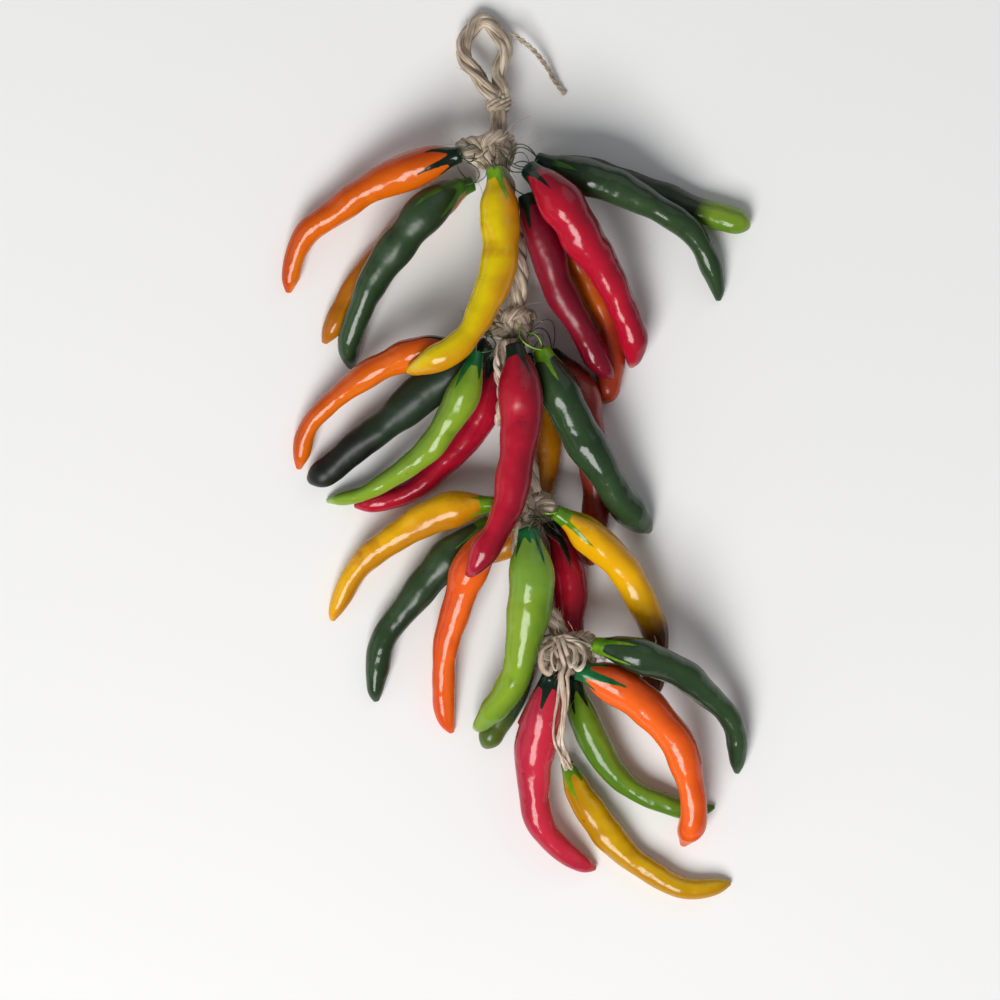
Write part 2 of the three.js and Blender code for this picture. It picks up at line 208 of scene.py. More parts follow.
class ChilliSettings(bpy.types.PropertyGroup):
    """How the chillies are modelled and glazed."""

    around: number("Sides", "Corners round each chilli", 44, 12)
    stride: measure("Stride", "Distance between rings along a chilli", 1.1 * MM)
    waviness: FloatProperty(
        name="Waviness", description="How far the girth swells and narrows", default=0.045, subtype="FACTOR"
    )
    dents: measure("Dents", "Depth of the thumbed hollows in the clay", 0.56 * MM)
    cap: measure("Calyx cap", "Length of the painted cap round the stem", 6 * MM)
    lobe: measure("Calyx lobe", "Length of the painted lobes", 17 * MM)


class RopeSettings(bpy.types.PropertyGroup):
    """How the rope, its knots and the twine are laid."""

    pitch: measure("Rope lay", "Length of one turn of a strand", 30 * MM)
    strand: measure("Knot strand", "Radius of the rope's turns in a knot", 3.1 * MM)
    twine: measure("Twine", "Radius of the tying twine", 0.95 * MM)
    fuzz: number("Fuzz", "Loose fibres on each rope and knot", 70, 0)
    threads: number("Threads", "Long stray fibres at each knot", 14, 0)
    pale: tint("Pale sisal", "Colour of the fibres that catch the light", (0.92, 0.78, 0.6))
    shade: tint("Shaded sisal", "Colour between the fibres", (0.16, 0.096, 0.058))


class WireSettings(bpy.types.PropertyGroup):
    """The wires that hold the stems."""

    radius: measure("Radius", "Radius of a wire", 0.3 * MM)
    colour: tint("Colour", "Colour of the coated wire", (0.02, 0.04, 0.015))
    bright: tint("Bright", "Colour of the wires that were painted with the calyx", (0.16, 0.32, 0.03))


class StageSettings(bpy.types.PropertyGroup):
    """The floor and the camera."""

    camera_height: measure("Camera height", "Height of the camera over the table", 2.4)
    view_width: measure("View width", "Width that the camera takes in at the string", 0.45)
    floor_colour: tint("Floor", "Colour of the floor", (0.9, 0.9, 0.9))


# ---- Shader maths ----


class Signal:
    """A shader socket that can be written in sums: each operator adds its Math node."""

    def __init__(self, tree, socket):
        self.tree = tree
        self.socket = socket

    def math(self, operation, other, clamp=False):
        node = self.tree.nodes.new("ShaderNodeMath")
        node.operation = operation
        node.use_clamp = clamp
        connect(self.tree, node.inputs[0], self)
        connect(self.tree, node.inputs[1], other)
        return Signal(self.tree, node.outputs[0])

    def __add__(self, other):
        return self.math("ADD", other)

    __radd__ = __add__

    def __sub__(self, other):
        return self.math("SUBTRACT", other)

    def __rsub__(self, other):
        return (self * -1) + other

    def __mul__(self, other):
        return self.math("MULTIPLY", other)

    __rmul__ = __mul__

    def clamped(self):
        """The same value, held between 0 and 1."""
        return self.math("ADD", 0.0, clamp=True)


def connect(tree, slot, value):
    """Links a signal to a socket, or sets the socket to a plain value."""
    if isinstance(value, Signal):
        tree.links.new(value.socket, slot)
    elif isinstance(value, bpy.types.NodeSocket):
        tree.links.new(value, slot)
    else:
        slot.default_value = value


class Finish:
    """A new material, with one method that adds any other node."""

    def __init__(self, name):
        self.material = bpy.data.materials.new(name)
        self.material.use_nodes = True
        self.tree = self.material.node_tree
        self.shader = self.tree.nodes["Principled BSDF"]

    def node(self, kind, settings=None, *ordered, **values):
        """Adds a node with its settings, then fills its sockets in order or by name, _ for a space."""
        node = self.tree.nodes.new(kind)
        for name, value in (settings or {}).items():
            if name == "stops":
                set_stops(node.color_ramp, value)
            else:
                setattr(node, name, value)
        for slot, value in zip(node.inputs, ordered):
            connect(self.tree, slot, value)
        for name, value in values.items():
            slots = [slot for slot in node.inputs if slot.name == name.replace("_", " ") and slot.enabled]
            connect(self.tree, slots[0], value)
        return node

    def signal(self, node, output=0):
        return Signal(self.tree, node.outputs[output])

    def mix(self, factor, first, second):
        """A colour part of the way from one to another."""
        node = self.node("ShaderNodeMix", {"data_type": "RGBA"}, Factor=factor, A=first, B=second)
        return next(socket for socket in node.outputs if socket.enabled)

    def place(self):
        """Where a point of the object lies, in metres."""
        return self.node("ShaderNodeTexCoord").outputs["Object"]

    def noise(self, place, scale, detail=2.0, roughness=0.5):
        """Clouds between 0 and 1, so many of them in a metre."""
        clouds = self.node(
            "ShaderNodeTexNoise", None, Vector=place, Scale=scale, Detail=detail, Roughness=roughness
        )
        return self.signal(clouds)

    def stretched_noise(self, coordinates, stretch):
        """Noise drawn out by a different amount along each coordinate."""
        stretched = self.node("ShaderNodeVectorMath", {"operation": "MULTIPLY"}, coordinates, stretch)
        return self.noise(stretched.outputs[0], 1.0, 4.0, 0.6)

    def attribute(self, name):
        """A number that the mesh gives at each corner."""
        return self.signal(self.node("ShaderNodeAttribute", {"attribute_name": name}), "Fac")

    def set(self, **values):
        """Sets or links the shader's own sockets."""
        for name, value in values.items():
            connect(self.tree, self.shader.inputs[name.replace("_", " ")], value)


def set_stops(ramp, stops):
    """Gives a colour ramp its stops: places and colours."""
    ramp.elements.remove(ramp.elements[1])
    ramp.elements[0].position, ramp.elements[0].color = stops[0]
    for position, colour in stops[1:]:
        ramp.elements.new(position).color = colour


def linear(code):
    """A #rrggbb colour as the shader's linear one."""
    shares = [int(code[i : i + 2], 16) / 255 for i in (1, 3, 5)]
    return [*(s / 12.92 if s <= 0.04045 else ((s + 0.055) / 1.055) ** 2.4 for s in shares), 1.0]


# ---- Finishes ----

FINISHES = {}


def finish_for(name, make, *values):
    """The material of that name, made the first time it is asked for."""
    if name not in FINISHES:
        FINISHES[name] = make(name, *values)
    return FINISHES[name]


def body_paint(finish, pot, deepening_and_shade, along, broad, fine):
    """The body colour: mottled, deeper at both ends, and deeper down one flank, partly its own tone and
    partly painted shade.
    """
    body, deep, light = (linear(code) for code in GLAZES[pot])
    ramp = {"stops": [(0.2, deep), (0.42, body), (0.6, body), (0.8, light)]}
    tone = (broad + (fine - 0.5) * 0.12).clamped()
    mottled = finish.node("ShaderNodeValToRGB", ramp, Fac=tone).outputs[0]
    stem_end, tip_end = 0.26, 0.78
    ends = ((along - tip_end) * 2.6).clamped() + ((stem_end - along) * 4.0).clamped()
    # The deeper flank is partly the glaze's tone and partly painted shade on the side turned from the light.
    flank = ((finish.attribute("flank") + (broad - 0.5) * 1.2 - 0.15) * 1.3).clamped()
    return finish.mix((ends * 0.25 + flank * 0.75 + deepening_and_shade).clamped(), mottled, deep)


def dip_and_shadow(finish, painted, along, broad, code, first, last):
    """A second colour over a stretch of the chilli, with a soft and wandering edge: a dip of paint on some
    chillies, painted shadow on others.
    """
    sharpness = 11
    edge = along + (broad - 0.5) * 0.12
    cover = ((edge - first) * sharpness).clamped() * ((last - edge) * sharpness).clamped()
    return finish.mix(cover, painted, linear(code))


def pinholed(finish, painted, spot):
    """A few pinholes, which show as dark specks."""
    cells = finish.node("ShaderNodeTexVoronoi", {"feature": "F1"}, Vector=spot, Scale=PINHOLES)
    near = finish.signal(cells, "Distance")
    chosen = finish.signal(finish.node("ShaderNodeTexWhiteNoise", None, Vector=cells.outputs["Position"]))
    radius, share = 0.16, 0.07
    speck = ((radius - near) * 12).clamped() * ((chosen - (1 - share)) * 40).clamped()
    return finish.mix(speck * 0.6, painted, linear(PINHOLE_COLOUR))


def glazed_clay(name, glaze, calyx, place):
    """Painted and glazed clay: a mottled body, a calyx with crisp lobes and a wet gloss."""
    finish = Finish(name)
    spot = finish.place()
    broad = finish.noise(spot, CLOUDS, 3.0, 0.55)
    fine = finish.noise(spot, GRAIN, 2.0, 0.6)
    along = finish.attribute("along")
    painted = body_paint(finish, POT.get(place, glaze), DEEPENING_AND_SHADE.get(place, 0.0), along, broad, fine)
    # A dip of paint on some chillies, and painted shadow on others.
    if place in DIPS_AND_SHADOWS:
        painted = dip_and_shadow(finish, painted, along, broad, *DIPS_AND_SHADOWS[place])
    painted = pinholed(finish, painted, spot)

    # The calyx: the attribute is how far inside its painted edge a point lies, in millimetres.
    inside = finish.attribute("calyx") + (fine - 0.5) * 0.7
    cover = (inside * 2.6 + 0.5).clamped()
    bright, dark = (linear(code) for code in CALYX_PAINT[calyx])
    shown = ((finish.noise(spot, BRUSH_STREAKS) - 0.35) * 2.2).clamped()
    if calyx == "capped":
        cap_end = 0.07
        shown = ((along - cap_end) * 30).clamped()
    colour = finish.mix(cover, painted, finish.mix(shown, dark, bright))

    rough = 0.1 + broad * 0.08 + fine * 0.06
    if place in DULL:
        rougher, end = DULL[place]
        rough = rough + ((end - along) * 6).clamped() * rougher
    relief = fine * 0.25 + broad * 0.5 + cover * 0.35 + finish.noise(spot, FINGER_LUMPS, 1.5) * 9
    bump = finish.node("ShaderNodeBump", None, Strength=0.16, Distance=0.7 * MM, Height=relief)
    finish.set(Base_Color=colour, Roughness=rough, Normal=bump.outputs[0])
    finish.set(IOR=1.5, Specular_IOR_Level=0.38)
    return finish.material


def sisal(name, pale, shade, fibres):
    """Laid plant fibre: lengthwise hairs in an uneven tone, with painted highlight on the pale ones and
    painted shade between them, and a faint sheen.
    """
    finish = Finish(name)
    lay = finish.node("ShaderNodeUVMap", {"uv_map": "lay"}).outputs[0]
    hairs = finish.stretched_noise(lay, (fibres, 0.5, 1.0))
    locks = finish.stretched_noise(lay, (fibres * 0.22, 0.35, 1.0))
    patch = finish.noise(finish.place(), 110.0)
    # The tone runs from painted shade between the fibres to painted highlight on them, over the fibres' own
    # uneven colour.
    tone = ((hairs - 0.5) * 1.3 + (locks - 0.5) * 0.9 + (patch - 0.5) * 0.7 + 0.5).clamped()
    middle = [0.36 * a + 0.64 * b for a, b in zip(pale, shade)]
    stops = [(0.2, (*shade, 1)), (0.48, (*middle, 1)), (0.78, (*pale, 1))]
    colour = finish.node("ShaderNodeValToRGB", {"stops": stops}, Fac=tone).outputs[0]
    relief = hairs * 0.55 + locks * 0.6
    bump = finish.node("ShaderNodeBump", None, Strength=0.9, Distance=0.8 * MM, Height=relief)
    finish.set(Base_Color=colour, Roughness=0.42 + patch * 0.25, Normal=bump.outputs[0])
    finish.set(Sheen_Weight=0.1, Sheen_Roughness=0.5)
    return finish.material


def coated_wire(name, colour):
    """Thin wire in a dull green coat."""
    finish = Finish(name)
    wear = finish.noise(finish.place(), 600.0)
    worn = [min(2.6 * c + 0.01, 1.0) for c in colour]
    finish.set(Base_Color=finish.mix(wear, (*colour, 1), (*worn, 1)), Roughness=0.32 + wear * 0.2)
    return finish.material


def floor_paper(name, colour):
    """A pale matt floor with a barely uneven tone."""
    finish = Finish(name)
    tone = finish.noise(finish.place(), 3.0)
    darker = [0.97 * c for c in colour]
    finish.set(Base_Color=finish.mix(tone, (*darker, 1), (*colour, 1)), Roughness=0.85)
    return finish.material


def sisal_of(kind):
    """The sisal of the rope, or the paler one of the twine, which has fewer fibres."""
    settings = bpy.context.scene.chilli_rope
    pale, shade = tuple(settings.pale), tuple(settings.shade)
    if kind == "rope":
        return finish_for("sisal_rope", sisal, pale, shade, 34.0)
    paler = tuple(min(0.3 + 0.7 * c, 1.0) for c in pale)
    brighter = tuple(2.3 * c for c in shade)
    return finish_for("sisal_twine", sisal, paler, brighter, 12.0)


# ---- Reading the frame ----


def rings_of(node):
    """The middles and radii of a swept solid's rings, found by walking along its edges from an end."""
    corners = {}
    names = []
    for vertex in node.data.vertices:
        key = tuple(round(c * 1e6) for c in vertex.co)
        names.append(corners.setdefault(key, len(corners)))
    points = np.array(list(corners), dtype=float) * 1e-6
    beside = [set() for _ in corners]
    for edge in node.data.edges:
        a, b = (names[v] for v in edge.vertices)
        if a != b:
            beside[a].add(b)
            beside[b].add(a)
    for start in range(len(points)):
        levels = walk(beside, start)
        sizes = {len(level) for level in levels[1:-1]}
        if len(sizes) == 1 and min(sizes) > 2 and len(levels[-1]) == 1:
            rings = [points[sorted(level)] for level in levels]
            middles = np.array([ring.mean(axis=0) for ring in rings])
            radii = [np.median(np.linalg.norm(r - m, axis=1)) for r, m in zip(rings, middles)]
            return middles, np.array(radii)
    raise RuntimeError(f"{node.name} isn't a swept solid")


def walk(beside, start):
    """The corners one step, two steps and so on from a corner."""
    seen = {start}
    levels = [{start}]
    while True:
        reached = set().union(*(beside[corner] for corner in levels[-1])) - seen
        if not reached:
            return levels
        seen |= reached
        levels.append(reached)


def along_curve(rows, places):
    """Rows of numbers read at distances along the smooth curve through the given rows."""
    at = lengths_along(rows)
    slope = np.gradient(rows, at, axis=0)
    i = np.clip(np.searchsorted(at, places) - 1, 0, len(at) - 2)
    span = (at[i + 1] - at[i])[:, None]
    f = (places - at[i])[:, None] / span
    start = (2 * f**3 - 3 * f**2 + 1) * rows[i] + (f**3 - 2 * f**2 + f) * span * slope[i]
    return start + (3 * f**2 - 2 * f**3) * rows[i + 1] + (f**3 - f**2) * span * slope[i + 1]


def lengths_along(rows):
    """How far along the curve each row lies."""
    steps = np.linalg.norm(np.diff(rows[:, :3], axis=0), axis=1)
    return np.concatenate([[0.0], np.cumsum(np.maximum(steps, 1e-7))])


def shares_along(path):
    """How far along the path each point lies, as a share of its length."""
    lengths = lengths_along(path)
    return lengths / lengths[-1]


def resampled(points, stride):
    """A path with a point at every stride."""
    length = lengths_along(points)[-1]
    return along_curve(points, np.linspace(0, length, max(int(length / stride), 3) + 1))


# ---- Making meshes ----


def unit(vectors):
    """The same directions, each one long."""
    return vectors / (np.linalg.norm(vectors, axis=-1, keepdims=True) + 1e-12)


def directions(path):
    """The unit vector along each point of a path."""
    return unit(np.gradient(path, axis=0))


def carried_frames(path):
    """Unit vectors beside and above a path that turns any way, carried along without twist."""
    tangents = directions(path)
    level = abs(tangents[0][2]) < 0.9
    beside = [unit(np.cross(tangents[0], UP if level else np.array([1.0, 0, 0])))]
    for tangent in tangents[1:]:
        beside.append(unit(beside[-1] - tangent * np.dot(beside[-1], tangent)))
    beside = np.array(beside)
    return beside, np.cross(beside, tangents)


def angles_round(sides):
    """Even angles for the corners of a ring."""
    return np.linspace(0, TURN, sides, endpoint=False)


def angle_from(side, angle):
    """How far an angle is turned from a side, which is at most half a turn either way."""
    return (angle - side + math.pi) % TURN - math.pi


def rings_round(path, reach, angle, beside, above):
    """Rings of corners round a path, each corner at its own reach from it."""
    cos, sin = np.cos(angle)[None, :, None], np.sin(angle)[None, :, None]
    return path[:, None, :] + reach[..., None] * (cos * beside[:, None, :] + sin * above[:, None, :])


def new_object(name, data):
    """A new object in the scene."""
    thing = bpy.data.objects.new(name, data)
    bpy.context.scene.collection.objects.link(thing)
    return thing


class Tubes:
    """Gathers tubes into one mesh with its lay map, then makes the object."""

    def __init__(self):
        self.points = []
        self.faces = []
        self.lay = []
        self.extra = {}

    def add(self, rings, lay_along):
        """Skins rings of corners, an array of rings by corners by three, and closes both ends."""
        count, sides, _ = rings.shape
        first = sum(len(block) for block in self.points)
        self.points.append(rings.reshape(-1, 3))
        i, j = np.meshgrid(np.arange(count - 1), np.arange(sides), indexing="ij")
        k = (j + 1) % sides
        quads = np.stack([i * sides + j, (i + 1) * sides + j, (i + 1) * sides + k, i * sides + k], axis=-1)
        self.faces.extend((quads.reshape(-1, 4) + first).tolist())
        across = np.stack([j, j, j + 1, j + 1], axis=-1) / sides
        down = np.stack([lay_along[i], lay_along[i + 1], lay_along[i + 1], lay_along[i]], axis=-1)
        self.lay.append(np.stack([across, down], axis=-1).reshape(-1, 2))
        last = first + (count - 1) * sides
        self.faces += [list(range(first, first + sides)), list(range(last, last + sides))[::-1]]
        self.lay.append(np.tile([[0.5, lay_along[0]]], (2 * sides, 1)))

    def make(self, name, material, slot, *nodes):
        """Makes the object, which rides on the string and stands for the given solids."""
        mesh = bpy.data.meshes.new(name)
        mesh.from_pydata(np.concatenate(self.points).tolist(), [], self.faces)
        mesh.shade_smooth()
        layer = mesh.uv_layers.new(name="lay")
        layer.data.foreach_set("uv", np.concatenate(self.lay).astype(np.float32).ravel())
        for key, values in self.extra.items():
            attribute = mesh.attributes.new(key, "FLOAT", "POINT")
            attribute.data.foreach_set("value", np.asarray(values, dtype=np.float32).ravel())
        mesh.materials.append(material)
        piece = new_object(name, mesh)
        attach(piece, "root")
        if nodes:
            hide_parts(*nodes)

    def make_sisal(self, name, kind, *nodes):
        self.make(name, sisal_of(kind), "sisal", *nodes)


def add_cord(tubes, path, radius, plies, pitch, sides=10, twist=0.0, taper=0.0):
    """Lays plies round a path: tubes that wind once in a pitch, and thin out over the taper."""
    lengths = lengths_along(path)
    beside, above = carried_frames(path)
    swell = np.clip((lengths[-1] - lengths) / taper, 0.3, 1.0) if taper else np.ones(len(path))
    offset = 0.0 if plies == 1 else 0.5 * radius
    angle = angles_round(sides)
    for n in range(plies):
        turn = TURN * (lengths / pitch + n / plies) + twist
        across = np.cos(turn)[:, None] * beside + np.sin(turn)[:, None] * above
        middle = path + (offset * swell)[:, None] * across
        yarns = 1 + 0.05 * np.sin(5 * angle[None, :] - 2.4 * turn[:, None] + n)
        reach = (PLY_SHARES[plies] * radius * swell)[:, None] * yarns
        rings = rings_round(middle, reach, angle, *carried_frames(middle))
        tubes.add(rings, lengths / (2.2 * radius) + 0.37 * n)


def add_strand(tubes, path, radius, rng, taper=0.0):
    """A soft strand of untwisted fibre: flattened, ribbed lengthwise and uneven in width."""
    lengths = lengths_along(path)
    angle = angles_round(10)
    slow, quick = 3.1 * MM, 1.3 * MM  # the lengths that its width swells over
    width = 1 + 0.12 * np.sin(lengths / slow + rng.uniform(0, 6)) + 0.08 * np.sin(lengths / quick)
    if taper:
        width = width * np.clip((lengths[-1] - lengths) / taper, 0.3, 1.0)
    roll = rng.uniform(0, 3) + lengths / (16 * MM)
    flat = 1 + 0.22 * np.cos(2 * (angle[None, :] - roll[:, None]))
    ribs = 1 + 0.05 * np.cos(5 * angle)
    reach = radius * width[:, None] * flat * ribs[None, :]
    tubes.add(rings_round(path, reach, angle, *carried_frames(path)), lengths / (5 * radius))


def add_hair(tubes, path, radius):
    """A loose fibre: a three-sided tube that thins towards its end."""
    thin = np.linspace(1.0, 0.35, len(path))[:, None] * radius
    tubes.add(rings_round(path, thin, angles_round(3), *carried_frames(path)), lengths_along(path) / MM)


def add_fuzz(tubes, path, radius, count, rng, reach=(2.0, 6.0)):
    """Short fibres that lift off a cord and curl. Their reach is in millimetres."""
    tangents = directions(path)
    beside, above = carried_frames(path)
    for _ in range(count):
        i = rng.randrange(len(path))
        turn = rng.uniform(-0.2, math.pi + 0.2)
        out = math.cos(turn) * beside[i] + math.sin(turn) * above[i]
        way = unit(tangents[i] * rng.choice((-1, 1)) + out * rng.uniform(0.15, 0.9))
        curl = np.cross(way, out) * rng.uniform(-0.6, 0.6) + UP * rng.uniform(-0.5, 0.1)
        length = rng.uniform(*reach) * MM
        shares = np.linspace(0, 1, 6)[:, None]
        hair = path[i] + out * radius * 0.9 + way * length * shares + curl * length * 0.7 * shares**2
        hair[:, 2] = np.maximum(hair[:, 2], 0.15 * MM)
        add_hair(tubes, hair, rng.uniform(0.05, 0.09) * MM)


# ---- Chillies ----


def chilli_profile(node):
    """A chilli's middle line and radii from stem to tip, without the end points, and its very tip."""
    middles, radii = rings_of(node)
    if radii[1] < radii[-2]:
        middles, radii = middles[::-1], radii[::-1]
    return np.column_stack([middles[1:-1], radii[1:-1]]), middles[-1]


def strewn_lobes(settings, rng):
    """Four painted lobes spread round the stem, where none is listed."""
    start = rng.uniform(-50, 20)
    return tuple(
        (start + n * LOBE_SPREAD + rng.uniform(-10, 10), settings.lobe / MM * rng.uniform(0.7, 1.1))
        for n in (-1, 0, 1, 2)
    )


def calyx_field(angle, lengths, radii, place, rng, settings):
    """How far inside the painted calyx each point lies, in millimetres: less than 0 is outside it."""
    s, a, r = lengths[:, None] / MM, angle[None, :], radii[:, None] / MM
    lobes = LOBES[place] if place in LOBES else strewn_lobes(settings, rng)
    root = 1.5 if place in SLENDER else 2.4
    cap = settings.cap / MM * rng.uniform(0.8, 1.0)
    field = cap + 0.4 * np.sin(3 * a + rng.uniform(0, 6)) - s
    spread = 1 + 0.3 * np.exp(-(((s - cap) / 2) ** 2))  # a lobe is broader where it leaves the cap
    for degrees, length in (*lobes, *BACK_LOBES):
        share = np.clip(s / length, 0, 1)
        lean = math.radians(rng.uniform(-14, 14))
        centre = math.pi / 2 - math.radians(degrees) + lean * share**2
        away = np.abs(angle_from(centre, a)) * r
        half = root * rng.uniform(0.9, 1.1) * (1 - share) ** 0.75 * spread
        field = np.maximum(field, half - away - np.maximum(s - length, 0))
    return field


def clay_relief(lengths, angle, radii, rng, settings):
    """How far the surface stands out at each place: slow waves, flats and thumbed dents."""
    s, a, r = lengths[:, None] / MM, angle[None, :], radii[:, None]
    relief = np.zeros((len(lengths), len(angle)))
    waves = ((44, 1.0), (27, 0.8), (16, 0.4))  # each one's length in millimetres, and its share
    for wave, share in waves:
        wave *= rng.uniform(0.85, 1.2)
        relief += settings.waviness * share * r * np.sin(TURN * (s / wave + rng.random()))
    for fold in (2, 3, 4):
        drift = rng.uniform(-0.03, 0.03)
        swing = rng.uniform(22, 45)
        sway = 0.5 + 0.5 * np.sin(TURN * (s / swing + rng.random()))
        depth = 0.03 / (fold - 1) * rng.uniform(0.7, 1.3)
        relief += depth * r * sway * np.cos(fold * (a + drift * s) + 6.28 * rng.random())
    thumbed, small = ((3.2, 5.2), 1.0, 3.2), ((1.8, 2.8), 0.28, 2.2)  # sizes, depth and spacing
    for sizes, depth, spacing in (thumbed, small):
        for _ in range(int(lengths[-1] / MM / spacing)):
            where = rng.uniform(3, lengths[-1] / MM - 3)
            side = rng.uniform(0, TURN)
            size = rng.uniform(*sizes)
            apart = angle_from(side, a) * r / MM
            push = settings.dents * depth * rng.uniform(-1.0, 0.8)
            relief += push * np.exp(-((s - where) ** 2 + apart**2) / (2 * size**2))
    return relief


def stem_flare(lengths):
    """How the girth spreads at the stem's rim and is pinched just past it."""
    s = lengths / MM
    return 1.03 + 0.03 * np.exp(-((s / 2.2) ** 2)) - 0.16 * np.exp(-(((s - 4) / 6) ** 2))


def carried_on(rows, before, after):
    """The rows, with the first one repeated before them and the last one after."""
    return np.concatenate([np.repeat(rows[:1], before, axis=0), rows, np.repeat(rows[-1:], after, axis=0)])


def make_chilli(name, node, settings):
    """Models a chilli over its solid and gives it its painted calyx and glaze."""
    _, place, glaze = name.split("_")
    rng = random.Random(name)
    profile, point = chilli_profile(node)
    total = lengths_along(profile)[-1]
    rows = along_curve(profile, np.linspace(0, total, int(total / settings.stride)))
    path, radii = rows[:, :3], rows[:, 3]
    lengths = lengths_along(path)
    tangents = directions(path)
    beside = unit(np.cross(tangents, UP))
    above = np.cross(beside, tangents)

    # The middle line sways a little from side to side, more towards the tip.
    sway = 0.7 * MM * np.sin(TURN * (lengths / (38 * MM) + rng.random())) * (lengths / total)
    path = path + sway[:, None] * beside

    angle = angles_round(settings.around) - math.pi / 2
    fade = np.clip(lengths / (9 * MM), 0.1, 1) * np.clip((total - lengths) / (7 * MM), 0.25, 1)
    relief = clay_relief(lengths, angle, radii, rng, settings) * fade[:, None]
    reach = (radii * stem_flare(lengths))[:, None] + relief

    # Rounded ends: the stem's flat cap with a softened rim, and the tip's dome.
    cap = np.array([0.02, 0.3, 0.6, 0.82, 0.94])
    crown = 0.9 * MM * np.sqrt(1 - cap**2) * np.clip(cap * 3, 0.35, 1)
    stem_path = path[0] - tangents[0] * crown[:, None]
    dome = np.cos(np.linspace(0.25, 1.0, 6) * math.pi / 2 * 0.995)
    rise = np.linalg.norm(point - profile[-1, :3])
    tip_path = path[-1] + tangents[-1] * (rise * np.sqrt(1 - dome**2))[:, None]

    path = np.concatenate([stem_path, path, tip_path])
    reach = np.concatenate([cap[:, None] * reach[0], reach, dome[:, None] * reach[-1]])
    beside, above, wide = (carried_on(rows, len(cap), len(dome)) for rows in (beside, above, radii))
    lengths = np.concatenate([np.zeros(len(cap)), lengths, np.full(len(dome), total)])
    rings = rings_round(path, reach, angle, beside, above)
    rings[..., 2] = np.maximum(rings[..., 2], 0.0)

    tubes = Tubes()
    tubes.add(rings, lengths / total)
    tubes.extra["calyx"] = calyx_field(angle, lengths, wide, place, rng, settings)
    tubes.extra["along"] = np.repeat(lengths / total, settings.around)
    # The flank painted deeper, partly its own tone and partly painted shade; unlisted chillies get one side
    # at random.
    darker_side = math.pi / 2 - math.radians(SIDE_TONE_AND_SHADE.get(place, rng.choice((-75, 75))))
    tubes.extra["flank"] = np.tile(np.cos(angle - darker_side), len(lengths))
    calyx = next((paint for paint, places in CALYX.items() if place in places), "dark")
    material = finish_for(f"glaze_{place}", glazed_clay, glaze, calyx, place)
    tubes.make(f"glazed_{name}", material, glaze, name)


class CHILLI_OT_chillies(bpy.types.Operator):
    """Models each chilli over its solid, with its dents, painted calyx and glaze"""

    bl_idname = "chilli.chillies"
    bl_label = "Chillies"

    def execute(self, context):
        settings = context.scene.chilli_clay
        for name, node in sorted(NODES.items()):
            if name.startswith("chilli_"):
                make_chilli(name, node, settings)
        return {"FINISHED"}


# ---- Rope, knots and loop ----


def cord_path(name, stride=0.9 * MM, reach=0.0):
    """A cord's middle line, stretched past both ends of its solid, and its radius."""
    middles, radii = rings_of(NODES[name])
    path = resampled(middles[1:-1], stride)
    if reach:
        start, end = unit(path[0] - path[2]), unit(path[-1] - path[-3])
        more = np.arange(1, int(reach / stride) + 1)[:, None] * stride
        path = np.concatenate([(path[0] + start * more)[::-1], path, path[-1] + end * more])
    return path, float(np.median(radii[1:-1]))


class CHILLI_OT_rope(bpy.types.Operator):
    """Lays the three-strand rope between the knots and up into the neck"""

    bl_idname = "chilli.rope"
    bl_label = "Rope"

    def execute(self, context):
        settings = context.scene.chilli_rope
        for name in ("rope_neck", "rope_1", "rope_2", "rope_3"):
            rng = random.Random(name)
            path, radius = cord_path(name, reach=5 * MM)
            tubes = Tubes()
            pitch = 3 * settings.pitch if name == "rope_neck" else settings.pitch
            add_cord(tubes, path, radius, 3, pitch, sides=14, twist=rng.uniform(0, 6))
            add_fuzz(tubes, path, radius, settings.fuzz, rng)
            tubes.make_sisal(f"laid_{name}", "rope", name)
        for name in ("rope_end_2", "rope_end_3"):
            rng = random.Random(name)
            path, radius = cord_path(name, stride=0.7 * MM, reach=1.5 * MM)
            tubes = Tubes()
            add_cord(tubes, path, radius, 2, 14 * MM, sides=12, taper=12 * MM)
            add_fuzz(tubes, path, radius, settings.fuzz // 2, rng, reach=(1.5, 5.0))
            add_fuzz(tubes, path[-6:], radius, settings.fuzz // 3, rng, reach=(3.0, 7.0))
            tubes.make_sisal(f"laid_{name}", "twine", name)
        return {"FINISHED"}


class CHILLI_OT_loop(bpy.types.Operator):
    """Lays the hanging loop, whose ends run into the binding, and the loose end of its cord"""

    bl_idname = "chilli.loop"
    bl_label = "Hanging loop"

    def execute(self, context):
        settings = context.scene.chilli_rope
        rng = random.Random("loop")
        path, radius = cord_path("hanging_loop")
        binding, _ = box_middle("loop_binding")
        inner = [binding + (side * 0.3 * radius, 0, 0) for side in (-1, 1)]
        lead = [0.35 * foot + 0.65 * end + UP * 0.2 * radius for foot, end in zip(inner, (path[0], path[-1]))]
        path = through([inner[0], lead[0], *path[4:-4:4], lead[1], inner[1]], 0.9 * MM)
        tubes = Tubes()
        add_cord(tubes, path, 1.06 * radius, 3, 1.4 * settings.pitch, sides=14)
        add_fuzz(tubes, path, radius, settings.fuzz, rng)
        tubes.make_sisal("laid_hanging_loop", "rope", "hanging_loop")

        path, radius = cord_path("loose_end", stride=0.6 * MM)
        tubes = Tubes()
        add_cord(tubes, path, radius, 2, 7 * MM, taper=3 * MM)
        add_fuzz(tubes, path, radius, 20, rng, reach=(1.5, 4.0))
        tubes.make_sisal("laid_loose_end", "rope", "loose_end")
        return {"FINISHED"}


def box_middle(name):
    """The middle of a node's box and its half sizes."""
    low, high = (np.array(corner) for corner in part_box(name))
    return (low + high) / 2, (high - low) / 2


